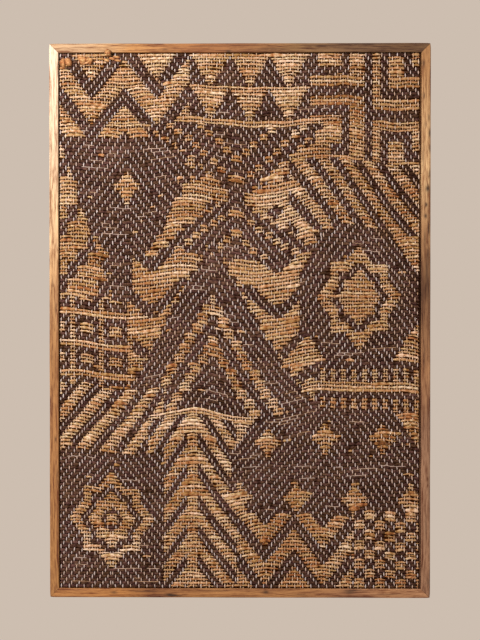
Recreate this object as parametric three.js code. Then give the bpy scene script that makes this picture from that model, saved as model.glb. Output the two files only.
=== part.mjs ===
// A framed jute weaving: a stiff two-faced weave of dark brown and natural jute weft, lying in
// the rebate of a thin wooden frame with mitred corners, which hangs flat on a wall.
// Millimetres, +Z up, the woven face towards -Y and the wall at Y = 0.
// The origin is the middle of the top rail's back, where the frame meets the wall.
import * as THREE from 'three';

// The frame, measured over all
const frameWidth = 610;
const frameHeight = 888;
const frameDepth = 32;

// A rail's section: a face that shows from the front, and a ledge behind the cloth
const faceWidth = 14.5;
const ledgeWidth = 7.5;
const backWidth = faceWidth + ledgeWidth;
const outerEdgeRadius = 2;
const innerEdgeRadius = 1;
const backEdgeChamfer = 0.8;
const edgeSegments = 4;

// The cloth: its crests lie a little behind the frame's front
const clothRecess = 2.5;
const clothThickness = 5.4;
const pickCount = 160;
const pickRelief = 0.8;
const stepsPerPick = 3;

// What the cloth's edges leave open to the rails, seen from the front
const edgeGap = { left: 1.2, right: 2.6, top: 1.4, bottom: 0.8 };

// Pieces that meet stand this far apart
const fitGap = 0.3;

// Distances in front of the wall, and heights from the origin
const clothFront = frameDepth - clothRecess;
const clothBack = clothFront - clothThickness;
const ledgeFront = clothBack - fitGap;
const frameTop = backWidth / 2;
const frameBottom = frameTop - frameHeight;
const clothTop = frameTop - faceWidth - edgeGap.top;
const clothBottom = frameBottom + faceWidth + edgeGap.bottom;
const clothLeft = -frameWidth / 2 + faceWidth + edgeGap.left;
const clothRight = frameWidth / 2 - faceWidth - edgeGap.right;

// Two rails' ends meet on a 45 degree mitre, each cut back along its rail for half the gap
const mitreSlack = fitGap / 2 * Math.SQRT2;

const railWood = { roughness: 0.55, metalness: 0 };
const railColours = { top: 0xb98553, right: 0xb48250, bottom: 0xb27a48, left: 0xd3a468 };
const clothMaterial = new THREE.MeshStandardMaterial({ color: 0x8a6747, roughness: 0.95, metalness: 0 });

// Runs a section along X. The section's x is the height and its y the distance in front of
// the wall; startAt and endAt give X at its two ends for a height.
function alongX(section, startAt, endAt) {
  const geometry = new THREE.ExtrudeGeometry(section, {
    depth: 1, bevelEnabled: false, curveSegments: edgeSegments,
  });
  const points = geometry.getAttribute('position');
  for (let i = 0; i < points.count; i++) {
    const height = points.getX(i);
    const forward = points.getY(i);
    const along = points.getZ(i) === 0 ? startAt(height) : endAt(height);
    points.setXYZ(i, along, -forward, height);
  }
  geometry.computeVertexNormals();
  return geometry;
}

// A rail's section, with its outer edge at height 0 and the opening below it: the face in
// front, the rebate's wall behind it, then the ledge that carries the cloth.
function railSection() {
  const section = new THREE.Shape();
  section.moveTo(-backEdgeChamfer, 0);
  section.lineTo(-backWidth, 0);
  section.lineTo(-backWidth, ledgeFront);
  section.lineTo(-faceWidth, ledgeFront);
  section.lineTo(-faceWidth, frameDepth - innerEdgeRadius);
  section.absarc(-faceWidth + innerEdgeRadius, frameDepth - innerEdgeRadius, innerEdgeRadius,
    Math.PI, Math.PI / 2, true);
  section.lineTo(-outerEdgeRadius, frameDepth);
  section.absarc(-outerEdgeRadius, frameDepth - outerEdgeRadius, outerEdgeRadius,
    Math.PI / 2, 0, true);
  section.lineTo(0, backEdgeChamfer);
  section.closePath();
  return section;
}

// A rail lies along X with its outer edge at the top. Each end draws in by as much as the
// section does, which makes the mitre.
function rail(name, length, colour) {
  const halfLength = (height) => length / 2 + height - mitreSlack;
  const geometry = alongX(railSection(), (height) => -halfLength(height), halfLength);
  const material = new THREE.MeshStandardMaterial({ color: colour, ...railWood });
  const mesh = new THREE.Mesh(geometry, material);
  mesh.name = name;
  return mesh;
}

// The cloth's section: each weft row is a low rib on both faces, with a valley between rows.
function clothSection() {
  const pitch = (clothTop - clothBottom) / pickCount;
  const stepCount = pickCount * stepsPerPick;
  const ribAt = (step) => (step % stepsPerPick === 0 ? 0 : pickRelief);
  const heightAt = (step) => clothBottom + pitch * step / stepsPerPick;
  const section = new THREE.Shape();
  section.moveTo(clothBottom, clothBack + pickRelief);
  for (let step = 1; step <= stepCount; step++) {
    section.lineTo(heightAt(step), clothBack + pickRelief - ribAt(step));
  }
  for (let step = stepCount; step >= 0; step--) {
    section.lineTo(heightAt(step), clothFront - pickRelief + ribAt(step));
  }
  return section;
}

function wovenCloth() {
  const geometry = alongX(clothSection(), () => clothLeft, () => clothRight);
  const mesh = new THREE.Mesh(geometry, clothMaterial);
  mesh.name = 'cloth';
  return mesh;
}

const weaving = new THREE.Group();
const middle = (frameTop + frameBottom) / 2;

const topRail = rail('rail_top', frameWidth, railColours.top);
topRail.position.set(0, 0, frameTop);

const rightRail = rail('rail_right', frameHeight, railColours.right);
rightRail.rotation.y = Math.PI / 2;
rightRail.position.set(frameWidth / 2, 0, middle);

const bottomRail = rail('rail_bottom', frameWidth, railColours.bottom);
bottomRail.rotation.y = Math.PI;
bottomRail.position.set(0, 0, frameBottom);

const leftRail = rail('rail_left', frameHeight, railColours.left);
leftRail.rotation.y = -Math.PI / 2;
leftRail.position.set(-frameWidth / 2, 0, middle);

weaving.add(topRail, rightRail, bottomRail, leftRail, wovenCloth());

export default weaving;
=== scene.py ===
import math

import bpy
import numpy as np
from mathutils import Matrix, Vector


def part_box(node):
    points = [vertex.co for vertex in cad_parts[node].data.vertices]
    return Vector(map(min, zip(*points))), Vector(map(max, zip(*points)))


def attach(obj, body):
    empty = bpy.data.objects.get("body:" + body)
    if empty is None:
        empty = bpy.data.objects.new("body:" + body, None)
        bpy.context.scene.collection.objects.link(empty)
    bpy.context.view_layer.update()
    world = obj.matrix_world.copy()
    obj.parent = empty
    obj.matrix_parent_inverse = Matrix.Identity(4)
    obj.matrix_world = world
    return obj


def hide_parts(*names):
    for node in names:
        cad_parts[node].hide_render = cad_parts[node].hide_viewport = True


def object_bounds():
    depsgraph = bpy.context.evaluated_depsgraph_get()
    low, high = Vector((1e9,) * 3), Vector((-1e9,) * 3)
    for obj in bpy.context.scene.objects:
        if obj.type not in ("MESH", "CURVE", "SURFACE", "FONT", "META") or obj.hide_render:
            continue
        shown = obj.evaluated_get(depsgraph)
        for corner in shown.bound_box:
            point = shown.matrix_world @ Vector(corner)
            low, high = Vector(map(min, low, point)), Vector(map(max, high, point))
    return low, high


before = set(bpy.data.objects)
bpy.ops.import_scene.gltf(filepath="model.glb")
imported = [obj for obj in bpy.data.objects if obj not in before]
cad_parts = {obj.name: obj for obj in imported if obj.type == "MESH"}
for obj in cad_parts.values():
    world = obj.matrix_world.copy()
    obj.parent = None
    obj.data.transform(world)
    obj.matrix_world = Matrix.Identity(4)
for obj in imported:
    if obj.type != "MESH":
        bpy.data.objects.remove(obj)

# A stiff jute weaving in a thin wooden frame. Metres, +Z up, the woven face towards -Y.
cadBox = [list(corner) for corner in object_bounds()]
mm = 0.001
chance = np.random.default_rng(24)

clothLow, clothHigh = (np.array(corner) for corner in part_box("cloth"))
frameLow, frameHigh = np.array(cadBox[0]), np.array(cadBox[1])
frameMiddle, frameSize = (frameLow + frameHigh) / 2, frameHigh - frameLow


# Shading

# a shader socket that takes part in sums: a + b, 1 - a or a * b adds a Math node
class Wire:
    def __init__(self, paint, socket):
        self.paint = paint
        self.socket = socket

    def maths(self, operation, first, second):
        return self.paint.node("Math", {"operation": operation}, [first, second])

    def __add__(self, other):
        return self.maths("ADD", self, other)

    def __sub__(self, other):
        return self.maths("SUBTRACT", self, other)

    def __rsub__(self, other):
        return self.maths("SUBTRACT", other, self)

    def __mul__(self, other):
        return self.maths("MULTIPLY", self, other)

    def __truediv__(self, other):
        return self.maths("DIVIDE", self, other)

    def __pow__(self, other):
        return self.maths("POWER", self, other)

    __radd__ = __add__
    __rmul__ = __mul__


# a material being made; node() adds any node, its settings first, then its sockets
class Paint:
    def __init__(self, name):
        self.material = bpy.data.materials.new(name)
        self.material.use_nodes = True
        self.tree = self.material.node_tree
        self.tree.nodes.clear()

    def node(self, kind, settings, sockets, result=0):
        made = self.tree.nodes.new("ShaderNode" + kind)
        for name, value in settings.items():
            if name == "stops":
                for extra in range(len(value) - 2):
                    made.color_ramp.elements.new(0.5)
                for element, (place, colour) in zip(made.color_ramp.elements, value):
                    element.position = place
                    element.color = colour
            else:
                setattr(made, name, value)
        for name, value in sockets.items() if isinstance(sockets, dict) else enumerate(sockets):
            if isinstance(value, Wire):
                self.tree.links.new(value.socket, made.inputs[name])
            else:
                made.inputs[name].default_value = value
        return Wire(self, made.outputs[result])

    def objectPlace(self, turn=(0, 0, 0)):
        place = self.node("TexCoord", {}, {}, "Object")
        return self.node("Mapping", {}, {0: place, 2: turn})

    # noise with about as many lumps to the metre, along each axis, as stretch says
    def noise(self, place, stretch, detail=2.0, rough=0.6):
        drawn = self.node("Mapping", {}, {0: place, 3: stretch})
        sockets = {"Vector": drawn, "Scale": 1.0, "Detail": detail, "Roughness": rough}
        return self.node("TexNoise", {}, sockets)

    # the twist of yarn that runs across the cloth, as fine slanting ridges
    def twist(self):
        return self.noise(self.objectPlace((0, 0.5, 0)), (350, 900, 1600))

    def mark(self, name):
        return self.node("Attribute", {"attribute_name": name}, {}, "Fac")

    # stops are (place, red, green, blue)
    def ramp(self, value, stops):
        linear = [(place, ink(*screen)) for place, *screen in stops]
        return self.node("ValToRGB", {"stops": linear}, [value])

    # 0 below low and 1 above high, eased between
    def clamp(self, value, low, high):
        sockets = {0: value, 1: low, 2: high, 3: 0.0, 4: 1.0}
        return self.node("MapRange", {"interpolation_type": "SMOOTHSTEP"}, sockets)

    def blend(self, share, first, second, way="MIX"):
        settings = {"data_type": "RGBA", "blend_type": way}
        return self.node("Mix", settings, {0: share, 6: first, 7: second}, 2)

    # exp(-distance)
    def hump(self, distance):
        return self.node("Math", {"operation": "EXPONENT"}, [distance * -1.0])

    # an object's own (across, deep, up) as three separate numbers
    def placeParts(self):
        split = self.node("SeparateXYZ", {}, [self.objectPlace()])
        return [Wire(self, output) for output in split.socket.node.outputs]

    def bump(self, height, strength, distance):
        return self.node("Bump", {}, {"Height": height, "Strength": strength, "Distance": distance})

    def surface(self, **sockets):
        named = {name.replace("_", " "): value for name, value in sockets.items()}
        shader = self.node("BsdfPrincipled", {}, named)
        output = self.tree.nodes.new("ShaderNodeOutputMaterial")
        self.tree.links.new(shader.socket, output.inputs["Surface"])
        return self.material


# a colour as seen on a screen, 0 to 255, as the linear light that the shaders use
def ink(red, green, blue):
    screen = np.array([red, green, blue]) / 255
    light = np.where(screen < 0.04045, screen / 12.92, ((screen + 0.055) / 1.055) ** 2.4)
    return (*[float(value) for value in light], 1.0)


# Shapes

# smooth noise: random numbers on a coarse grid, eased between its points by 3t^2 - 2t^3
def smoothField(shape, rowStep, columnStep):
    rows, columns = shape
    coarse = scatter(int(rows / rowStep) + 3, int(columns / columnStep) + 3)
    row, column = np.arange(rows) / rowStep, np.arange(columns) / columnStep
    top, left = row.astype(int), column.astype(int)
    down, right = row - top, column - left
    down, right = (down * down * (3 - 2 * down))[:, None], right * right * (3 - 2 * right)
    across = coarse[:, left] * (1 - right) + coarse[:, left + 1] * right
    return across[top] * (1 - down) + across[top + 1] * down


# random numbers about 0, one for each place
def scatter(*shape):
    return chance.standard_normal(shape)


# each value drawn to its two neighbours along an axis: (before + 2 * own + after) / 4
def softened(field, axis, times):
    for again in range(times):
        field = (np.roll(field, 1, axis) + 2 * field + np.roll(field, -1, axis)) / 4
    return field


# a new object in the scene
def placed(name, data):
    made = bpy.data.objects.new(name, data)
    bpy.context.scene.collection.objects.link(made)
    return made


# tubes: rings holds (tube, ring, point) places, and tips the point that closes each end.
# Each face of the skin joins two rings, and an end is a fan to its tip. Each tube has a tile
# of the map.
def tubeMesh(name, rings, tips, material, marks=None, tiles=None):
    tubes, count, sides = rings.shape[:3]
    ring, side = (grid.ravel() for grid in np.mgrid[0:count - 1, 0:sides])
    after = (side + 1) % sides
    skin = np.stack([ring * sides + side, ring * sides + after,
                     (ring + 1) * sides + after, (ring + 1) * sides + side], axis=1)
    around = np.arange(sides)
    following = (around + 1) % sides
    closing = (count - 1) * sides
    starts = np.stack([following, around, np.full(sides, count * sides)], axis=1)
    ends = np.stack([around + closing, following + closing, np.full(sides, count * sides + 1)], axis=1)
    corners = np.concatenate([skin.ravel(), starts.ravel(), ends.ravel()])
    lengths = np.concatenate([np.full(len(skin), 4), np.full(2 * sides, 3)])
    offsets = np.cumsum(lengths) - lengths

    skinAlong = np.stack([ring, ring, ring + 1, ring + 1], axis=1) + 1
    skinAround = np.stack([side, side + 1, side + 1, side], axis=1)
    along = np.concatenate([skinAlong.ravel(), np.tile([1, 1, 0], sides),
                            np.tile([count, count, count + 1], sides)]) / (count + 1)
    startAround = np.stack([around + 1, around, around + 0.5], axis=1)
    endAround = np.stack([around, around + 1, around + 0.5], axis=1)
    turned = np.concatenate([skinAround.ravel(), startAround.ravel(), endAround.ravel()]) / sides
    if tiles is None:
        low = np.arange(tubes) / tubes
        tiles = np.stack([np.zeros(tubes), low, np.ones(tubes), np.full(tubes, 0.94 / tubes)], axis=1)
    left, bottom, width, height = (tiles[:, index, None] for index in range(4))
    flat = np.stack([left + width * along, bottom + height * turned], axis=-1)

    perTube = count * sides + 2
    tube = np.arange(tubes)[:, None]
    points = np.concatenate([rings.reshape(tubes, -1, 3), tips], axis=1).reshape(-1, 3)
    mesh = bpy.data.meshes.new(name)
    mesh.vertices.add(len(points))
    mesh.vertices.foreach_set("co", points.ravel())
    mesh.loops.add(tubes * len(corners))
    mesh.loops.foreach_set("vertex_index", (corners + tube * perTube).ravel())
    mesh.polygons.add(tubes * len(offsets))
    mesh.polygons.foreach_set("loop_start", (offsets + tube * len(corners)).ravel())
    mesh.polygons.foreach_set("use_smooth", np.ones(tubes * len(offsets), bool))
    mesh.uv_layers.new(name="OFBake").uv.foreach_set("vector", flat.ravel())
    for mark, values in (marks or {}).items():
        spread = np.repeat(values, sides, axis=1)
        spread = np.concatenate([spread, values[:, :1], values[:, -1:]], axis=1)
        layer = mesh.attributes.new(mark, "FLOAT", "POINT")
        layer.data.foreach_set("value", spread.ravel())
    mesh.update(calc_edges=True)
    mesh.materials.append(material)
    piece = placed(name, mesh)
    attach(piece, "root")
    return piece


# yarn: each ring is centre + wide * cos(angle) + thick * sin(angle), and each end is closed by
# a point a little beyond its last ring
def yarnMesh(name, centre, wide, thick, sides, material, slot, marks=None, tiles=None, reach=0.5):
    angle = np.arange(sides)[:, None] * 2 * np.pi / sides
    rings = centre[:, :, None] + wide[:, :, None] * np.cos(angle) + thick[:, :, None] * np.sin(angle)
    first = centre[:, 0] + (centre[:, 0] - centre[:, 1]) * reach
    last = centre[:, -1] + (centre[:, -1] - centre[:, -2]) * reach
    return tubeMesh(name, rings, np.stack([first, last], axis=1), material, marks, tiles)


# half sizes as a yarn's two vectors, up the cloth and out of it
def upAndOut(halfHeight, halfDepth):
    none = np.zeros_like(halfHeight)
    return np.stack([none, none, halfHeight], axis=-1), np.stack([none, -halfDepth, none], axis=-1)


# The pattern: traditional woven figures, each a rule on warps (a, across) and picks (b, down)
# counted from the middle of its field, w and h being half the field's size. True is jute.

# bands of the given widths from an outline inward, jute first, then dark, and so on
def banded(inward, widths):
    return (np.searchsorted(np.cumsum(widths), inward, side="right") % 2 == 0) & (inward >= 0)


# nested chevrons: bands inward from two slanting sides that step out every few picks
def peak(a, b, w, h, step, bands):
    reach = np.floor((b + h) / step) * step * w / (2 * h)
    return banded(reach - np.abs(a) + 1.5, bands)


# bands inward from two triangles that meet at their points
def hourglass(a, b, w, h, bands):
    reach = np.floor(np.abs(b) / 2) * 2 * w / h
    return banded(reach - np.abs(a) + 2.5, bands)


# bands inward from the eight points of a square and a lozenge laid over each other
def star(a, b, w, h, reach, bands):
    across, down = np.abs(a), np.abs(b) * 1.1
    distance = np.minimum(np.maximum(across, down) / 0.64, across + down)
    return banded(reach - distance, bands)


# small crosses on a lozenge, in rows, each second one shifted by half a period
def crosses(a, b, w, h, period, arm, core):
    drop = period * 0.8
    shift = np.where(np.floor(b / drop) % 2 == 0, 0, period / 2)
    a, b = np.abs((a + shift) % period - period / 2), np.abs(b % drop - drop / 2)
    return ((a < 1.2) & (b < arm * 0.8)) | ((a < arm) & (b < 1.1)) | (a + b < core)


# stripes of b + the distance from the middle of each period
def zigzag(a, b, w, h, period, spacing, width):
    return (b + np.abs(a % period - period / 2)) % spacing < width


# jute and dark rectangles by turns
def checks(a, b, w, h, across, down):
    return (np.floor(a / across) + np.floor(b / down)) % 2 == 0


# one repeat of a hooked key
keyChart = ("##########..", "#........#..", "#.####...#..", "#.#..#...#..",
            "#.#..#####..", "#.#.........", "#.##########", "#...........")


# the chart above, repeated, with each of its marks a block of warps and picks
def keys(a, b, w, h, scale):
    chart = np.array([[mark == "#" for mark in row] for row in keyChart])
    row = np.floor(b / scale).astype(int) % chart.shape[0]
    column = np.floor(a / scale).astype(int) % chart.shape[1]
    return chart[row, column]


# a trunk, and branches of b - |a| that fall away from it on both sides
def tree(a, b, w, h, spacing, width):
    return (np.abs(a) < 1.6) | ((b - np.abs(a)) % spacing < width)


# rows of triangles, whose half width grows from pick to pick
def geese(a, b, w, h, period, rows):
    return np.abs(a % period - period / 2) < (b % rows) * period / (2 * rows)


# a grid of bars, with a block in the middle of each opening
def lattice(a, b, w, h, across, down):
    beside = np.abs(a % across - across / 2) * down / across
    distance = np.maximum(beside, np.abs(b % down - down / 2))
    return (distance > down / 2 - 1.2) | (distance < down * 0.2)


# slanting stripes of lean * a + b
def stripes(a, b, w, h, lean, period, width):
    return (a * lean + b) % period < width


# a bar in each row, with teeth below it
def combs(a, b, w, h, period, rows):
    band = b % rows
    return (band < 2) | ((a % period < period / 2) & (band < rows * 0.62))


# stripes of b + swing * sin(2 pi a / period)
def ripples(a, b, w, h, swing, period, spacing, width):
    return (b + swing * np.sin(a * 2 * np.pi / period)) % spacing < width


# stripes of b that rise at each run of warps
def steps(a, b, w, h, rise, run, spacing, width):
    return (b + rise * np.floor(a / run)) % spacing < width


# the ground alone
def plain(a, b, w, h):
    return np.zeros(a.shape, bool)


# The outlines that a field may have: each gives its half width at pick b
def box(b, w, h):
    return w


# draws in above and below its middle
def hexagon(b, w, h):
    return w - np.maximum(0, np.abs(b) - h * 0.35) * 0.9


# draws in from top to bottom
def hanging(b, w, h):
    return w - (h + b) * 0.45


# spreads from a point at the top
def triangle(b, w, h):
    return (b + h) * w / (2 * h) + 1.5


# two triangles, point to point
def waisted(b, w, h):
    return np.abs(b) * w / h + 2.5


# Each field: its warps from the left, its picks from the top, its outline, its figure, whether
# dark and jute change places in it, and the figure's sizes in warps and picks
fields = [
    ((0, 138), (0, 160), box, plain, True, {}),
    ((0, 50), (0, 28), box, zigzag, False, {"period": 25, "spacing": 14, "width": 8}),
    ((50, 96), (0, 21), box, geese, True, {"period": 15, "rows": 10}),
    ((96, 138), (0, 32), box, keys, True, {"scale": 3}),
    ((0, 62), (28, 74), box, steps, True, {"rise": 4, "run": 4, "spacing": 17, "width": 5}),
    ((0, 52), (26, 72), hanging, crosses, False, {"period": 24, "arm": 5.5, "core": 4.6}),
    ((50, 104), (21, 62), box, crosses, True, {"period": 12, "arm": 3, "core": 0}),
    ((88, 138), (32, 54), box, stripes, False, {"lean": -1, "period": 9, "width": 5}),
    ((34, 102), (22, 62), waisted, hourglass, True, {"bands": (6, 3, 9, 3, 60)}),
    ((0, 32), (72, 98), box, lattice, False, {"across": 11, "down": 9}),
    ((28, 104), (60, 106), box, ripples, True, {"swing": 3, "period": 24, "spacing": 13, "width": 4}),
    ((92, 138), (52, 94), hexagon, star, False, {"reach": 17, "bands": (5, 3, 60)}),
    ((20, 98), (56, 106), triangle, peak, True, {"step": 3, "bands": (12, 4, 5, 4, 60)}),
    ((98, 138), (92, 110), box, combs, True, {"period": 4, "rows": 9}),
    ((0, 40), (98, 120), box, stripes, True, {"lean": 1, "period": 9, "width": 4}),
    ((34, 68), (108, 160), box, tree, False, {"spacing": 9, "width": 5}),
    ((66, 138), (106, 142), hexagon, crosses, False, {"period": 22, "arm": 5.5, "core": 4.4}),
    ((0, 40), (118, 160), box, star, False, {"reach": 17, "bands": (4, 3, 5, 2, 60)}),
    ((68, 112), (138, 160), box, zigzag, True, {"period": 22, "spacing": 11, "width": 5}),
    ((112, 138), (136, 160), box, checks, False, {"across": 4, "down": 3}),
]


# the whole chart, each field laid over those before it, and which way each tie's twill leans:
# it turns over at the middle of every field
def weaveChart(warps, picks):
    pick, warp = np.mgrid[0:picks, 0:warps]
    jute, lean = np.zeros((picks, warps), bool), np.ones((picks, warps), int)
    for (left, right), (top, bottom), outline, figure, changed, size in fields:
        a, b = warp - (left + right - 1) / 2, pick - (top + bottom - 1) / 2
        w, h = (right - left) / 2, (bottom - top) / 2
        inside = (np.abs(b) < h) & (np.abs(a) < outline(b, w, h))
        jute = np.where(inside, figure(a, b, w, h, **size) ^ changed, jute)
        lean = np.where(inside, np.where(a < 0, 1, -1), lean)
    return jute, lean


# The cloth

weave = {
    "warps": 138,
    "picks": 160,
    "layerInset": 1.3 * mm,  # from the cloth's face to the middle of a layer of weft
    "floatEnd": 0.72,  # the share of its size that a float keeps at its two ends
    "rowEnd": 0.6,  # and a pick at the cloth's two sides
    "arch": 1.4 * mm,  # how far the middle of a short jute float rises above its ends
    "weftSides": 6,
    "slubs": 300,
    "slubLength": (1.2, 4.5),  # shortest and longest, in warps
    "ropes": 16,  # long stretches of a pick that are thicker and paler
    "ropeLength": (7, 18),  # in warps too
    "ropeSwell": 0.8,
    "ropePale": 0.3,
    "flecks": 90,  # stray short floats of jute in the dark ground
    "tieHalfWidth": 0.94 * mm,
    "tieHalfDepth": 0.55 * mm,
    "tieReach": 0.76,  # half a tie's length over dark weft, as a share of the row's height
    "juteTieReach": 0.78,
    "backTieReach": 0.84,
    "bridgeReach": 0.4,
    "tieRun": 0.66,  # where a tie's last ring lies, as a share of its half length
    # painted shade: a tie is painted darker at its two ends, where it dives into the gap between rows
    "tieEndShade": 0.22,  # how much darker a tie is at its two ends
    "tieArch": 0.6 * mm,
    "bridgeArch": 0.2 * mm,
    "bridgeDepth": 1.1 * mm,
    "bridgeThin": 0.85,
    "threads": 420,  # fine tan picks strewn over the chart; those on dark ground are kept
    "fibres": 1300,
    "wander": 0.5 * mm,  # how far a warp strays to either side
    "missed": 0.03,  # the share of ties that are left out
}

# each colour of weft: how much of its row's height a pick takes, half its depth, and how far a
# tie presses it in and narrows it
juteYarn = {"fill": 0.68, "depth": 1.25 * mm, "dip": 0.45 * mm, "pinch": 0.84}
darkYarn = {"fill": 1.0, "depth": 0.95 * mm, "dip": 0.7 * mm, "pinch": 0.66}


# a few stray floats of jute, one to three warps long, strewn over the chart
def strewFlecks(jute):
    picks, warps = jute.shape
    pick = chance.integers(0, picks, weave["flecks"])
    warp = chance.integers(0, warps - 3, weave["flecks"])
    for extra in range(3):
        kept = chance.random(weave["flecks"]) < 1 - extra / 3
        jute[pick[kept], warp[kept] + extra] = True


# Each row's height is an even share, swollen by noise, from row to row and along them, and a
# little where jute shows, so that rows bow and crowd one another. A pick's middle is the sum
# of the heights above it and half its own.
def rowLayout(jute):
    shown = np.pad(jute, ((0, 0), (1, 1)), mode="edge").astype(float)
    shape = picks, columns = shown.shape
    soft = softened(shown, 1, 4)
    around = softened(soft, 0, 60)
    swell = 1 + 0.055 * smoothField(shape, 15, 26) + 0.05 * smoothField(shape, 1, 11)
    swell = swell + 0.08 * scatter(picks, 1) + 0.12 * (soft - around)
    swell = np.clip(swell, 0.6, 1.6)
    height = (clothHigh[2] - clothLow[2]) * swell / swell.sum(axis=0)
    middle = clothHigh[2] - np.cumsum(height, axis=0) + height / 2
    even = np.linspace(clothLow[0], clothHigh[0], columns - 1)
    across = np.concatenate([even[:1], (even[1:] + even[:-1]) / 2, even[-1:]])
    across = across + weave["wander"] * smoothField(shape, 18, 9)
    across[:, 0] = clothLow[0] + chance.uniform(0.4, 1.6, picks) * mm
    across[:, -1] = clothHigh[0] - chance.uniform(0.4, 1.6, picks) * mm
    return shown, across, middle, height


# For each place in a row, how wide its float is, how far along it the place lies, 0 to 1, and
# whether it is one of the float's two ends
def floatPlaces(shown):
    picks, columns = shown.shape
    index = np.arange(columns) + np.zeros((picks, 1), int)
    change = np.diff(shown, axis=1) != 0
    opens = np.concatenate([np.ones((picks, 1), bool), change], axis=1)
    closes = np.concatenate([change, np.ones((picks, 1), bool)], axis=1)
    first = np.maximum.accumulate(np.where(opens, index, 0), axis=1)
    last = np.minimum.accumulate(np.where(closes, index, columns)[:, ::-1], axis=1)[:, ::-1]
    width = last - first + 1
    return width, (index - first + 0.5) / width, opens | closes


# slubs: bell-shaped swellings strewn along the picks, strength * exp(-(distance / length)^2);
# lengths are the shortest and the longest
def strewSlubs(shape, count, lengths):
    picks, columns = shape
    pick, column = chance.integers(0, picks, count), chance.uniform(0, columns, count)
    strength, length = 0.15 + chance.random(count) ** 2, chance.uniform(*lengths, count)
    bell = np.exp(-((np.arange(columns) - column[:, None]) / length[:, None]) ** 2)
    swelling = np.zeros((picks, columns))
    np.add.at(swelling, pick, strength[:, None] * bell)
    return np.clip(swelling, 0, 1.3)


# One colour of weft. It lies in the front layer where it is shown and in the back layer
# elsewhere; each tie presses it in and narrows it, and it narrows at the ends of each float.
# Its half height goes with slub * pinch, and its half depth with the root of that.
def weftPieces(name, yarn, shown, tied, layout, slub, material, slot, tone):
    across, middle, height = layout
    front, back = clothLow[1] + weave["layerInset"], clothHigh[1] - weave["layerInset"]
    ends = floatPlaces(shown)[2]
    pinch = np.where(tied, yarn["pinch"], 1.0) * np.where(ends, weave["floatEnd"], 1.0)
    inward = np.where(shown > 0.5, 1.0, -1.0)
    deep = np.where(shown > 0.5, front, back) + inward * np.where(tied, yarn["dip"], 0.0)
    halfHeight = height / 2 * yarn["fill"] * slub * pinch
    halfDepth = yarn["depth"] * slub ** 0.5 * pinch ** 0.5
    for halfSize in (halfHeight, halfDepth):
        halfSize[:, [0, -1]] *= weave["rowEnd"]
    centre = np.stack([across, deep, middle], axis=-1)
    wide, thick = upAndOut(halfHeight, halfDepth)
    half = len(middle) // 2
    return [yarnMesh(f"{name}_{part}", centre[rows], wide[rows], thick[rows], weave["weftSides"],
                     material, slot, {"tone": np.clip(tone[rows], 0, 1)}, reach=0.25)
            for part, rows in (("upper", slice(0, half)), ("lower", slice(half, None)))]


# Ties: each is a short arch of fine warp over a pick, a few rings and two tips sunk between the
# rows: depth = crest + arch * step^2, and thickness = half * sqrt(1 - 0.4 * step^2). A bridge is
# a thinner, flatter one, lower in the cloth, over the gap below its pick. side is -1 on the
# front and 1 on the back. The golden mark is 1 over jute, where the cream is warmer.
def tiePiece(name, chosen, side, cloth, rings, sides, material, reach, bridged, tint, onJute):
    across, middle, height = cloth["layout"]
    pick, warp = here = np.nonzero(chosen)
    count, low, row = len(pick), bridged[here], height[pick, warp + 1]
    x, z = across[pick, warp + 1], middle[pick, warp + 1] - np.where(low, row / 2, 0)
    length = row * reach[here] * chance.uniform(0.78, 1.16, count)
    face = clothLow[1] if side < 0 else clothHigh[1]
    sunk = weave["tieHalfDepth"] + chance.uniform(0.0, 0.3, count) * mm
    crest = face - side * (sunk + np.where(low, weave["bridgeDepth"], 0))
    slant = 0.15 * mm * cloth["lean"][here] + chance.normal(0, 0.25, count) * mm
    x, z = x + chance.normal(0, 0.22, count) * mm, z + chance.normal(0, 0.3, count) * mm
    step = np.linspace(-1, 1, rings)
    rise = np.where(low, weave["bridgeArch"], weave["tieArch"])
    arch = crest[:, None] - side * rise[:, None] * step ** 2
    run = weave["tieRun"] * step
    centre = np.stack([x[:, None] + slant[:, None] * run, arch,
                       z[:, None] + length[:, None] * run], axis=-1)
    swell = np.sqrt(1 - 0.4 * step ** 2) * chance.uniform(0.85, 1.15, (count, 1))
    swell = swell * np.where(low, weave["bridgeThin"], 1.0)[:, None]
    none = np.zeros_like(swell)
    wide = np.stack([weave["tieHalfWidth"] * swell, none, none], axis=-1)
    thick = np.stack([none, weave["tieHalfDepth"] * swell, none], axis=-1)
    shade = chance.uniform(0, 0.7, count) + tint[here]
    # painted shade: each tie darker towards its ends, where it dives into the gap between rows
    tone = shade[:, None] + weave["tieEndShade"] * step ** 2
    golden = onJute[here][:, None] + 0 * tone
    picks, warps = chosen.shape
    tiles = np.stack([warp / warps, pick / picks, np.full(count, 0.9 / warps),
                      np.full(count, 0.9 / picks)], axis=1)
    return yarnMesh(name, centre, wide, thick, sides, material, "tie_warp",
                    {"tone": tone, "golden": golden}, tiles, reach=0.7)


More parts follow.
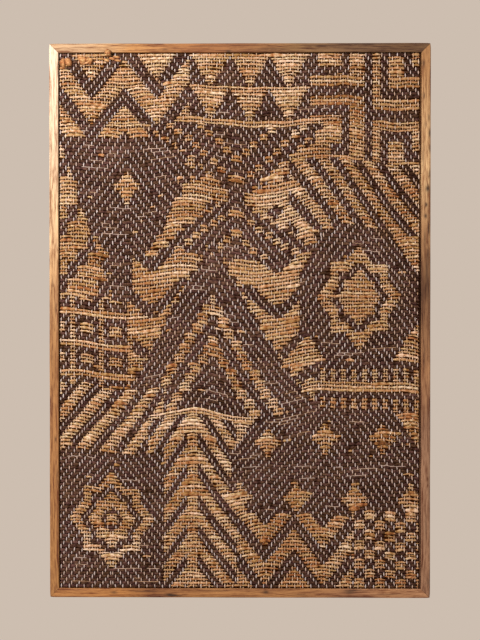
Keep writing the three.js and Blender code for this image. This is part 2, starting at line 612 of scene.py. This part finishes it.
# Threads: a thin tan pick lies in the gap under a dark row for a few warps, then goes in again:
# depth = face + 0.9 + 1.2 * (1 - sin(pi * share))^3 millimetres
def threadPiece(jute, layout, material):
    across, middle, height = layout
    picks, warps = jute.shape
    count, rings = weave["threads"], 13
    pick = chance.integers(2, picks - 2, count)[:, None]
    warp = chance.integers(2, warps - 14, count)[:, None]
    span = chance.integers(3, 12, count)[:, None]
    share = np.linspace(0, 1, rings)
    along = warp + span * share
    column, part = along.astype(int), along % 1
    dark = ~(jute[pick, column] | jute[pick + 1, column]).any(axis=1)

    def between(field):
        return field[pick, column] * (1 - part) + field[pick, column + 1] * part

    x, z = between(across), between(middle - height * 0.5) + 0.3 * mm * scatter(count, rings)
    y = clothLow[1] + 0.9 * mm + 1.2 * mm * (1 - np.sin(np.pi * share)) ** 3
    centre = np.stack([x, y + 0 * x, z], axis=-1)[dark]
    half = 0.5 * mm * (1 + 0.2 * scatter(count, rings))[dark]
    tone = (chance.uniform(0.6, 1.2, (count, 1)) + np.zeros((count, rings)))[dark]
    return yarnMesh("tan_threads", centre, *upAndOut(half, half), 4, material, "tie_warp",
                    {"tone": tone}, reach=0.3)


# Fibres: short stray hairs of jute that lie loosely over the rows. Each is an arc at a small
# angle to the row: rise = length * sin(angle) * t + bow * (1 - t^2), with t from -1 to 1
def fibrePiece(jute, layout, material):
    across, middle = layout[:2]
    pick, warp = np.nonzero(jute)
    chosen = chance.choice(len(pick), weave["fibres"], replace=False)
    pick, warp = pick[chosen][:, None], warp[chosen][:, None]
    count, t = weave["fibres"], np.linspace(-1, 1, 4)
    length, angle = chance.uniform(2, 7, (count, 1)) * mm, chance.normal(0, 0.5, (count, 1))
    bow = chance.normal(0, 0.8, (count, 1)) * mm
    x = across[pick, warp + 1] + length * np.cos(angle) * t
    z = middle[pick, warp + 1] + length * np.sin(angle) * t + bow * (1 - t * t)
    x = np.clip(x, clothLow[0] + 1 * mm, clothHigh[0] - 1 * mm)
    z = np.clip(z, clothLow[2] + 1 * mm, clothHigh[2] - 1 * mm)
    y = clothLow[1] + (0.5 - chance.uniform(0, 1.3, (count, 1)) * (1 - t * t)) * mm
    half = chance.uniform(0.1, 0.24, (count, 1)) * mm * (1 - 0.5 * t * t)
    tone = chance.uniform(0.0, 0.5, (count, 1)) + np.zeros((count, len(t)))
    return yarnMesh("jute_fibres", np.stack([x, y, z], axis=-1), *upAndOut(half, half), 3, material,
                    "jute", {"tone": tone}, reach=0.3)


# Tufts: thick fuzzy knots of jute that stand out of the top rows, each one or more lobes. A lobe
# is (from, to, thickness, tone), and a place (across, below, proud): millimetres from the
# cloth's left edge, below its top edge and in front of its face.
tuftLobes = [
    ((0.5, 16, 0.0), (13, 14.5, 1.0), 14, 0.7),
    ((9, 17, 0.5), (20.5, 11, 0.5), 13, 0.64),
    ((3, 9.5, 0.0), (15, 11, 1.0), 6, 0.7),
    ((2, 20, 0.8), (16, 18, 1.6), 4, 0.5),
    ((32, 13, 0.5), (44.5, 8.5, 1.5), 12, 0.58),
    ((43, 8.5, 1.5), (54, 13.5, 0.5), 10.5, 0.6),
    ((29, 7, 0.0), (38, 8, 0.6), 6, 0.5),
    ((34, 17, 0.6), (50, 13, 2.4), 4, 0.42),
    ((78.5, 5, 0.6), (78, -6.5, 6.6), 10.5, 0.5),
    ((73, -1.5, 4.6), (84, -2.5, 4.8), 7, 0.66),
    ((79, 6.5, 0.5), (90, 9.5, 0.8), 4.5, 0.66),
    ((86, 4.5, 0.3), (98, 6.5, 0.6), 4, 0.6),
    ((88, 10, 0.5), (100, 12, 0.4), 3.5, 0.66),
    ((70, 8, 0.4), (81, 12.5, 0.6), 3.5, 0.5),
]


# A lobe's thickness is thick * (1 - step^2)^0.4 from end to end, roughened by noise along it
# and around it
def tuftPiece(material):
    ringCount, sides = 21, 16
    step = np.linspace(-0.95, 0.95, ringCount)
    lobes = len(tuftLobes)
    starts, stops, thick, tones = (np.array(column) for column in zip(*tuftLobes))
    place = (starts[:, None] + stops[:, None]) / 2 + (stops - starts)[:, None] / 2 * step[:, None]
    centre = np.stack([clothLow[0] + place[..., 0] * mm, clothLow[1] - place[..., 2] * mm,
                       clothHigh[2] - place[..., 1] * mm], axis=-1)
    run = (centre[:, -1] - centre[:, 0])[:, None]
    run = run / np.linalg.norm(run, axis=-1, keepdims=True)
    half = thick[:, None] / 2 * mm * np.sqrt(1 - step * step) ** 0.8
    half = half * (1 + 0.1 * smoothField((lobes, ringCount), 1, 4))
    none = np.zeros(half.shape)
    wide = np.stack([-run[..., 2] * half, none, run[..., 0] * half], axis=-1)
    deep = np.stack([none, -0.62 * half, none], axis=-1)
    angle = np.arange(sides) * 2 * np.pi / sides
    rough = 1 + 0.11 * scatter(lobes, ringCount, sides) * (1 - step * step)[:, None]
    rings = centre[:, :, None] + (wide[:, :, None] * np.cos(angle)[:, None]
                                  + deep[:, :, None] * np.sin(angle)[:, None]) * rough[..., None]
    tips = np.stack([2 * centre[:, 0] - centre[:, 1], 2 * centre[:, -1] - centre[:, -2]], axis=1)
    # painted shade and highlight: each lobe is darker at its ends, where it meets its neighbours, and
    # paler along its middle
    tone = tones[:, None] + 0.65 * (step * step - 0.45)
    return tubeMesh("jute_tufts", rings, tips, material, {"tone": tone})


# the hidden warps between the two layers of weft, as one sheet ribbed from top to bottom:
# depth is the cloth's middle plus a cosine of the warp number
def groundSheet(material):
    columns, rows = weave["warps"] + 1, 17
    rise, across = np.meshgrid(np.linspace(clothLow[2], clothHigh[2], rows),
                               np.linspace(clothLow[0], clothHigh[0], columns), indexing="ij")
    deep = (clothLow[1] + clothHigh[1]) / 2 + 0.2 * mm * np.cos(np.pi * np.arange(columns)) + 0 * rise
    points = np.stack([across, deep, rise], axis=-1).reshape(-1, 3)
    row, column = (grid.ravel() for grid in np.mgrid[0:rows - 1, 0:columns - 1])
    corner = row * columns + column
    faces = np.stack([corner, corner + 1, corner + columns + 1, corner + columns], axis=1)
    mesh = bpy.data.meshes.new("cloth_ground")
    mesh.from_pydata(points.tolist(), [], faces.tolist())
    mesh.polygons.foreach_set("use_smooth", np.ones(len(faces), bool))
    flat = np.stack([np.tile(np.linspace(0, 1, columns), rows),
                     np.repeat(np.linspace(0, 1, rows), columns)], axis=1)
    mesh.uv_layers.new(name="OFBake").uv.foreach_set("vector", flat[faces.ravel()].ravel())
    mesh.materials.append(material)
    piece = placed("cloth_ground", mesh)
    body = piece.modifiers.new("body", "SOLIDIFY")
    body.thickness, body.offset = 0.7 * mm, 0
    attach(piece, "root")
    return piece


# Jute: the tone picks a place on two ramps, a golden one and a ruddy one, and noise that is
# long across the cloth and short down it picks how much of each
def jutePaint(name, golden, ruddy):
    paint = Paint(name)
    place = paint.objectPlace()
    streak = paint.noise(place, (90, 700, 700), 3.0)
    fine = paint.noise(place, (300, 650, 650), 2.0, 0.7)
    patch = paint.noise(place, (22, 160, 160), 2.0, 0.5)
    tone = paint.mark("tone") + (streak - 0.5) * 0.8 + (patch - 0.5) * 0.3 + (fine - 0.5) * 1.2
    drift = paint.noise(place, (14, 230, 230))
    speck = paint.noise(place, (160, 420, 420))
    hue = paint.clamp(drift * 0.55 + speck * 0.45, 0.42, 0.58)
    colour = paint.blend(hue, paint.ramp(tone, golden), paint.ramp(tone, ruddy))
    return paint.surface(Base_Color=colour, Roughness=0.8 + 0.2 * streak, Specular_IOR_Level=0.25,
                         Normal=paint.bump(paint.twist(), 0.7, 0.5 * mm))


goldenJute = [(0.0, 219, 198, 171), (0.28, 179, 149, 106), (0.52, 150, 113, 66),
              (0.74, 129, 87, 42), (1.0, 70, 39, 15)]
ruddyJute = [(0.0, 223, 193, 172), (0.28, 187, 144, 107), (0.52, 158, 107, 66),
             (0.74, 141, 81, 41), (1.0, 76, 37, 14)]
goldenTuft = [(0.0, 208, 174, 126), (0.35, 172, 130, 84), (0.65, 134, 88, 51),
              (1.0, 64, 38, 20)]
ruddyTuft = [(0.0, 206, 158, 116), (0.35, 168, 114, 72), (0.65, 134, 78, 45),
             (1.0, 64, 34, 18)]


# Dark weft: umber and plum brown, blended in short patches
def darkPaint():
    paint = Paint("dark brown weft")
    place = paint.objectPlace()
    streak = paint.noise(place, (110, 800, 800), 3.0)
    fine = paint.noise(place, (350, 700, 700), 2.0, 0.7)
    tone = paint.mark("tone") * 0.5 + streak * 0.5 + 0.03 + (fine - 0.5) * 1.8
    hue = paint.clamp(paint.noise(place, (90, 300, 300)), 0.36, 0.64)
    umber = paint.ramp(tone, [(0.05, 28, 13, 3), (0.5, 64, 43, 28), (0.95, 103, 76, 59)])
    plum = paint.ramp(tone, [(0.05, 26, 11, 8), (0.5, 62, 39, 36), (0.95, 102, 72, 68)])
    colour = paint.blend(hue, umber, plum)
    return paint.surface(Base_Color=colour, Roughness=0.92 + 0.08 * streak, Specular_IOR_Level=0.06,
                         Normal=paint.bump(paint.twist(), 0.6, 0.4 * mm))


# Ties: pale grey cream over dark weft, tan at a high tone, and golden cream over jute
def tiePaint():
    paint = Paint("cream tie warp")
    streak = paint.noise(paint.objectPlace(), (900, 900, 160))
    tone = paint.mark("tone") * 0.62 + (streak - 0.5) * 0.5
    grey = paint.ramp(tone, [(0.0, 198, 186, 186), (0.28, 177, 160, 156),
                             (0.46, 192, 167, 154), (0.6, 179, 151, 131),
                             (0.76, 160, 121, 84), (1.0, 92, 60, 38)])
    golden = paint.ramp(tone, [(0.0, 222, 203, 188), (0.3, 203, 176, 153),
                               (0.6, 174, 138, 106), (1.0, 104, 68, 40)])
    colour = paint.blend(paint.mark("golden"), grey, golden)
    return paint.surface(Base_Color=colour, Roughness=0.85, Specular_IOR_Level=0.25,
                         Normal=paint.bump(streak, 0.4, 0.2 * mm))


# The hidden warps: very dark brown with fine streaks up the cloth. Their near-black is painted shade
# for the depths of the gaps between picks.
def groundPaint():
    paint = Paint("dark ground warp")
    streak = paint.noise(paint.objectPlace(), (900, 300, 120))
    colour = paint.ramp(streak, [(0.2, 28, 11, 2), (0.8, 54, 25, 7)])
    return paint.surface(Base_Color=colour, Roughness=0.95, Specular_IOR_Level=0.0,
                         Normal=paint.bump(streak, 0.5, 0.3 * mm))


# What the yarns share: the chart, the rows' layout, where a tie crosses a pick, and the painted
# falloff shade. The twill is warp + lean * pick, modulo 3: at 0 a warp ties the front, at 1 the back.
def layCloth():
    jute, lean = weaveChart(weave["warps"], weave["picks"])
    strewFlecks(jute)
    shown, across, middle, height = rowLayout(jute)
    picks, columns = middle.shape
    pick, warp = np.mgrid[0:picks, 0:weave["warps"]]
    twill = (warp + lean * pick) % 3
    edges = ((0, 0), (1, 1))
    # painted shade: light falloff painted into the yarns, a little darker towards the top right corner
    falloffShade = np.clip(np.linspace(-0.5, 0.65, columns), 0, 1) * np.linspace(1, 0.2, picks)[:, None]
    return {"jute": jute, "lean": lean, "shown": shown, "layout": (across, middle, height),
            "twill": twill, "tiedFront": np.pad(twill == 0, edges),
            "tiedBack": np.pad(twill == 1, edges), "falloffShade": falloffShade}


# The jute weft. Its slub is 1 + noise along the row + slubs + ropes, and its tone a row's
# own shade + smooth noise: darker at some slubs, paler along a rope, with painted shade under a tie,
# a painted highlight along the float between ties and the painted falloff shade. A short
# float rises by arch * sin(pi * share), most where it is 7 warps wide.
def juteWeft(cloth, slubs, material):
    shown = cloth["shown"]
    across, middle, height = cloth["layout"]
    shape = shown.shape
    width, along = floatPlaces(shown)[:2]
    rise = weave["arch"] * np.exp(-((width - 7) / 6) ** 2) * np.sin(np.pi * along) * shown
    ropes = np.minimum(strewSlubs(shape, weave["ropes"], weave["ropeLength"]), 0.5)
    slub = 1 + 0.17 * smoothField(shape, 1, 6) + slubs + 0.1 * scatter(shape[0], 1)
    slub = slub + 0.13 * scatter(*shape) + weave["ropeSwell"] * ropes
    wiggle = 0.34 * mm * smoothField(shape, 1, 5) + rise
    wiggle = wiggle + 0.26 * mm * scatter(*shape)
    tone = 0.445 + 0.05 * scatter(shape[0], 1) + 0.1 * smoothField(shape, 1, 9)
    tone = tone + 0.12 * smoothField(shape, 15, 22)
    tone = tone + slubs * chance.uniform(-0.02, 0.3, (shape[0], 1))
    tied = np.where(shown > 0.5, cloth["tiedFront"], cloth["tiedBack"])
    # painted shade where a tie presses the pick in, a painted highlight on the float between ties, and
    # the painted falloff shade towards the top right
    tone = tone + np.where(tied, 0.2, -0.1) + 0.12 * cloth["falloffShade"] - weave["ropePale"] * ropes
    return weftPieces("jute_weft", juteYarn, shown, tied, (across, middle + wiggle, height),
                      np.clip(slub, 0.6, 2.5), material, "jute", tone)


# The dark weft lies more evenly, shows where jute doesn't, and is painted darkest under a tie, as
# shade in the dimple there, with a painted highlight on the float between ties
def darkWeft(cloth):
    shown = cloth["shown"]
    across, middle, height = cloth["layout"]
    shape = shown.shape
    slub = 1 + 0.04 * smoothField(shape, 1, 6) + 0.06 * scatter(*shape)
    sway = 0.2 * mm * scatter(*shape)
    tone = 0.5 - 0.2 * smoothField(shape, 1, 7) - 0.15 * smoothField(shape, 12, 20)
    tied = np.where(shown > 0.5, cloth["tiedBack"], cloth["tiedFront"])
    # painted shade darkest where a tie presses the pick in, a painted highlight on the float between
    # ties, and the painted falloff shade towards the top right
    tone = tone + np.where(tied, -0.5, 0.12) - 0.3 * cloth["falloffShade"]
    return weftPieces("dark_weft", darkYarn, 1 - shown, tied, (across, middle + sway, height), slub,
                      darkPaint(), "dark_weft", tone)


# The ties of both faces. A bridge is a thin warp seen in the gap below a pick of jute, where no
# tie crosses it; tint adds to a tie's tone: smooth noise, painted shade that darkens the bridges
# down in the gaps, and the painted falloff shade towards the top right.
def tiePieces(cloth, slubs, material):
    jute, lean, twill = cloth["jute"], cloth["lean"], cloth["twill"]
    shape = cloth["shown"].shape
    below = np.concatenate([jute[1:], jute[-1:]])
    bridge = (twill == np.where(lean > 0, 1, 2)) & jute & below
    reach = np.where(jute, weave["juteTieReach"], weave["tieReach"])
    reach = np.where(bridge, weave["bridgeReach"], reach)
    # painted shade: bridges lie down in the gaps between picks and are painted darker
    tint = np.where(bridge, 0.6, np.where(jute, 0.08, -0.05))
    tint = tint + 0.12 * smoothField(shape, 9, 9)[:, 1:-1]
    # painted falloff shade, darker towards the top right
    tint = tint + np.where(jute, 0.1, 0.35) * cloth["falloffShade"][:, 1:-1]
    missed = (chance.random(jute.shape) < weave["missed"]) | ((slubs[:, 1:-1] > 0.3) & jute)
    front = ((twill == 0) & ~missed) | bridge
    upper = np.arange(shape[0])[:, None] < shape[0] // 2
    pieces = [tiePiece("tie_warp_front_" + part, front & rows, -1, cloth, 3, 4, material, reach,
                       bridge, tint, jute)
              for part, rows in (("upper", upper), ("lower", ~upper))]
    backReach = np.where(jute, weave["tieReach"], weave["backTieReach"])
    pieces.append(tiePiece("tie_warp_back", twill == 1, 1, cloth, 2, 3, material, backReach,
                           np.zeros(jute.shape, bool), np.where(jute, 0.0, 0.1), ~jute))
    return pieces


def buildCloth():
    cloth = layCloth()
    slubs = strewSlubs(cloth["shown"].shape, weave["slubs"], weave["slubLength"])
    natural = jutePaint("natural jute weft", goldenJute, ruddyJute)
    pieces = juteWeft(cloth, slubs, natural)
    pieces.append(tuftPiece(jutePaint("combed jute tuft", goldenTuft, ruddyTuft)))
    print("jute weft woven")
    pieces += darkWeft(cloth)
    print("dark weft woven")
    cream = tiePaint()
    pieces += tiePieces(cloth, slubs, cream)
    pieces.append(threadPiece(cloth["jute"], cloth["layout"], cream))
    pieces.append(fibrePiece(cloth["jute"], cloth["layout"], natural))
    ground = groundSheet(groundPaint())
    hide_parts("cloth")
    print("cloth tied down")


# The rails

railBack = float(np.ptp(np.array(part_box("rail_left")), axis=0)[0])
ledgeWidth = 7.5 * mm
rail = {
    "face": railBack - ledgeWidth,
    "back": railBack,
    "ledge": 23.8 * mm,  # from the frame's back to the ledge's front
    "outerRound": 2.2 * mm,
    "innerRound": 1.2 * mm,
    "mitreSlack": 0.2121 * mm,  # half the mitre's gap, measured along the rail
    "cornerRound": 2.5 * mm,
    "rings": 140,
    "uneven": 0.2 * mm,  # how far its faces stray
}


# A rail's section as a closed loop of (inward, forward) points, about even steps apart:
# straight runs between quarter circles at the two front edges
def railOutline():
    depth = float(frameSize[1])
    outer, inner = rail["outerRound"], rail["innerRound"]
    face, back, ledge = rail["face"], rail["back"], rail["ledge"]

    def straight(start, end, count):
        return np.linspace(start, end, count, endpoint=False)

    def quarter(middle, radius, fromAngle, toAngle, count):
        angle = np.radians(np.linspace(fromAngle, toAngle, count))
        return np.stack([middle[0] + radius * np.cos(angle), middle[1] + radius * np.sin(angle)], axis=1)

    return np.concatenate([
        quarter((outer, depth - outer), outer, 180, 90, 7),
        straight((outer, depth), (face - inner, depth), 9)[1:],
        quarter((face - inner, depth - inner), inner, 90, 0, 5),
        straight((face, depth - inner), (face, ledge), 4)[1:],
        straight((face, ledge), (back, ledge), 4),
        straight((back, ledge), (back, 0), 7),
        straight((back, 0), (0, 0), 7),
        straight((0, 0), (0, depth - outer), 9),
    ])


# A rail: its section carried from mitre to mitre, each point as far along as its distance
# from the outer edge allows, with a little smooth unevenness, then turned to its side
def buildRail(name, length, quarterTurns, material):
    outline = railOutline()
    count, sides = rail["rings"], len(outline)
    inward, forward = outline[:, 0], outline[:, 1]
    share = np.linspace(-1, 1, count)[:, None]
    uneven = rail["uneven"] * (np.minimum(smoothField((count, sides), 10, 4), 1.3) - 1.3)
    uneven[:, -3:] *= np.linspace(1, 0.3, 3)
    settled = np.clip((1 - np.abs(share)) * 30, 0, 1)
    inward = inward + uneven * settled * (forward > rail["ledge"]) * 0.6
    forward = forward + uneven * settled * (forward > rail["ledge"])
    along = share * (length / 2 - inward - rail["mitreSlack"])
    half = frameSize[(2, 0)[quarterTurns % 2]] / 2
    x, z = along, half - inward
    for turn in range(quarterTurns):
        x, z = z, -x
    bend = rail["cornerRound"]
    cornerX = np.abs(x) - frameSize[0] / 2 + bend
    cornerZ = np.abs(z) - frameSize[2] / 2 + bend
    distance = np.hypot(np.maximum(cornerX, 0), np.maximum(cornerZ, 0))
    over = (cornerX > 0) & (cornerZ > 0) & (distance > bend)
    pull = np.where(over, 1 - bend / np.maximum(distance, 1e-9), 0)
    x = x - np.sign(x) * cornerX * pull
    z = z - np.sign(z) * cornerZ * pull
    rings = np.stack([x + frameMiddle[0], frameHigh[1] - forward, z + frameMiddle[2]], axis=-1)
    tips = np.stack([rings[0].mean(axis=0), rings[-1].mean(axis=0)])
    piece = tubeMesh(name, rings[None], tips[None], material)
    piece.data.set_sharp_from_angle(angle=0.6)
    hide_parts(name.replace("wood_", "rail_"))
    return piece


# Wood: its grain runs along the rail, and its colour drifts along it, partly the wood's own colour
# and partly painted light falloff. knots holds (along, across, length, width, depth) in millimetres
# from the rail's middle and its outer edge.
def woodPaint(name, turns, length, drift, knots):
    paint = Paint(name)
    across, deep, up = paint.placeParts()
    middle = [float(value) for value in frameMiddle]
    u = (across - middle[0], up - middle[2])[turns % 2]
    half = float(frameSize[(2, 0)[turns % 2]]) / 2
    v = half - (up - middle[2], across - middle[0])[turns % 2] * (1, 1, -1, -1)[turns]
    swirl = 0.0
    dark = 0.0
    for along, off, span, wide, depth in knots:
        heart = paint.hump(((u - along * mm) / (span * mm)) ** 2 + ((v - off * mm) / (wide * mm)) ** 2)
        dark = dark + heart * depth
        swirl = swirl + heart * 0.002
    grainV = v + swirl
    joined = paint.node("CombineXYZ", {}, {0: u, 1: grainV, 2: deep})
    bend = paint.noise(joined, (7, 25, 25), 2.0, 0.5)
    broad = paint.noise(joined, (9, 190, 190), 3.0)
    grain = paint.noise(joined, (26, 520, 520), 4.0, 0.65)
    fine = paint.noise(joined, (90, 1700, 1700), 2.0, 0.7)
    pale = paint.ramp(u / length + 0.5 + (bend - 0.5) * 0.2, drift)
    brown = paint.blend(1.0, pale, ink(142, 100, 72), "MULTIPLY")
    share = paint.clamp(broad, 0.42, 0.66) * 0.55 + paint.clamp(grain, 0.44, 0.68) * 0.8
    streaked = paint.blend(share * 0.95 + (fine - 0.5) * 1.6, pale, brown)
    colour = paint.blend(dark, streaked, ink(48, 29, 19))
    return paint.surface(Base_Color=colour, Roughness=0.55 + 0.25 * grain, Specular_IOR_Level=0.35,
                         Normal=paint.bump(grain + fine * 0.5 - dark, 0.35, 0.3 * mm))


# For each rail: its quarter turns from the top one, its drift of colour as (place, red, green,
# blue) from end to end, partly the wood's own colour and partly painted light falloff, and its
# knots and streaks
rails = {
    # painted shade: the top rail darkens towards its right end
    "top": (0, [
        (0.05, 192, 160, 124), (0.16, 180, 140, 97), (0.22, 178, 129, 76), (0.45, 146, 94, 53),
        (0.66, 132, 98, 61), (0.78, 108, 79, 54), (1.0, 102, 74, 47),
    ], [
        (-18, 13, 5, 2, 0.9), (-120, 9, 8, 1.4, 0.5), (-60, 5, 20, 1.2, 0.4),
        (130, 4, 18, 1.4, 0.45), (210, 2, 40, 1, 0.5), (60, 9, 26, 1.2, 0.35),
    ]),
    "right": (1, [
        (0.0, 144, 107, 82), (0.2, 165, 128, 101), (0.32, 136, 100, 76), (0.45, 162, 119, 83),
        (0.57, 102, 69, 43), (0.66, 160, 120, 82), (0.8, 216, 181, 135), (0.95, 164, 121, 78),
    ], [
        (412, 12, 5, 3, 0.6), (360, 11, 5, 2, 0.6), (325, 3, 6, 2, 0.55), (314, 8, 5, 2, 0.4),
        (300, 2, 7, 2, 0.8), (276, 2, 6, 1.6, 0.6), (262, 12, 22, 1.2, 0.5), (234, 2, 9, 1.6, 0.7),
        (212, 4.5, 6, 3.4, 1.0), (186, 7, 3.6, 2.4, 0.9), (168, 8, 3.6, 2.6, 0.9),
        (148, 3, 12, 1.6, 0.85), (134, 9, 14, 1.4, 0.6), (108, 4, 16, 1.6, 0.5),
        (80, 6, 18, 2.2, 0.5), (40, 4, 22, 1.6, 0.4), (-60, 10, 24, 1.4, 0.4),
        (-260, 3, 40, 1.4, 0.4), (-330, 7, 20, 1.8, 0.4), (-418, 3, 6, 2, 0.5),
    ]),
    "bottom": (2, [
        (0.0, 178, 126, 74), (0.18, 176, 122, 68), (0.3, 134, 88, 52), (0.42, 162, 114, 68),
        (0.66, 168, 121, 75), (0.8, 148, 104, 73), (0.92, 184, 138, 98), (1.0, 176, 132, 97),
    ], [
        (-112, 4.5, 8, 2.2, 1.0), (-102, 3, 10, 1.2, 0.8), (-202, 8, 5, 2.4, 0.6),
        (-150, 10, 22, 1.4, 0.4), (42, 9, 5, 2.6, 0.85), (96, 5, 14, 1.4, 0.4),
        (176, 9, 9, 2.6, 0.7), (182, 12, 16, 1.2, 0.6), (240, 6, 24, 1.6, 0.4),
        (-40, 11, 26, 1.2, 0.4),
    ]),
    # the left rail pales towards its top, partly worn pale wood and partly painted highlight
    "left": (3, [
        (0.0, 168, 121, 72), (0.36, 161, 114, 69), (0.5, 160, 115, 70), (0.6, 201, 161, 115),
        (0.74, 219, 190, 153), (1.0, 231, 209, 185),
    ], [
        (20, 10, 9, 1.4, 0.4), (60, 5, 14, 1.2, 0.35), (-190, 9, 6, 1.4, 0.45),
        (310, 10, 20, 1, 0.2), (-250, 12, 14, 1.6, 0.4), (-60, 4, 18, 1.2, 0.3),
        (120, 12, 22, 1.2, 0.3),
    ]),
}


def buildFrame():
    for side, (turns, drift, knots) in rails.items():
        length = float(frameSize[(0, 2)[turns % 2]])
        material = woodPaint(f"{side} rail wood", turns, length, drift, knots)
        buildRail(f"wood_{side}", length, turns, material)
    print("frame joined")


# Light, camera and floor

studio = {
    "distance": 2.6,
    "shownHeight": 1024.8 * mm,  # what the picture's height takes in at the frame's front
    "aimShift": np.array([0.5, 0, 1.8]) * mm,
    "azimuth": 0.8,
    "elevation": 0.8,
    "floorDrop": 1.0,
    "surround": (205, 190, 176),
}


def aimed(thing, target):
    direction = np.array(target) - np.array(thing.location)
    thing.rotation_euler = Vector(direction).to_track_quat("-Z", "Y").to_euler()


def buildStudio():
    target = np.array([frameMiddle[0], frameLow[1], frameMiddle[2]]) + studio["aimShift"]
    lens = bpy.data.cameras.new("camera")
    lens.sensor_width = 36
    lens.lens = 36 * studio["distance"] / studio["shownHeight"]
    camera = placed("camera", lens)
    turn, rise = math.radians(studio["azimuth"]), math.radians(studio["elevation"])
    away = np.array([math.sin(turn) * math.cos(rise), -math.cos(turn) * math.cos(rise), math.sin(rise)])
    camera.location = target + away * studio["distance"]
    aimed(camera, target)
    bpy.context.scene.camera = camera

    for name, place, size, power, tint in (
        ("key", (-1.1, -1.25, 0.95), 0.5, 46, (1.0, 0.96, 0.9)),
        ("fill", (1.8, -2.4, 0.2), 2.0, 8, (1.0, 0.97, 0.94)),
        ("back", (-1.2, 2.4, 1.2), 2.0, 40, (1.0, 0.97, 0.94)),
    ):
        lamp = bpy.data.lights.new(name, "AREA")
        lamp.size, lamp.energy, lamp.color = size, power, tint
        light = placed(name, lamp)
        light.location = np.array(place) + frameMiddle * np.array([1, 0, 1])
        aimed(light, frameMiddle)

    world = bpy.data.worlds.new("studio")
    world.use_nodes = True
    sky = world.node_tree.nodes["Background"]
    sky.inputs["Color"].default_value = ink(*studio["surround"])
    sky.inputs["Strength"].default_value = 1.0
    bpy.context.scene.world = world
    bpy.context.scene.view_settings.view_transform = "Standard"

    paint = Paint("pale floor")
    cloudy = paint.noise(paint.objectPlace(), (3, 3, 3), 3.0, 0.5)
    colour = paint.ramp(cloudy, [(0.2, 206, 194, 182), (0.8, 214, 203, 192)])
    reach, level = 4.0, float(frameLow[2]) - studio["floorDrop"]
    mesh = bpy.data.meshes.new("floor")
    mesh.from_pydata([(-reach, -reach, level), (reach, -reach, level), (reach, reach, level),
                      (-reach, reach, level)], [], [(0, 1, 2, 3)])
    mesh.materials.append(paint.surface(Base_Color=colour, Roughness=0.9))
    placed("floor", mesh)
    print("studio lit")


buildStudio()
buildCloth()
buildFrame()
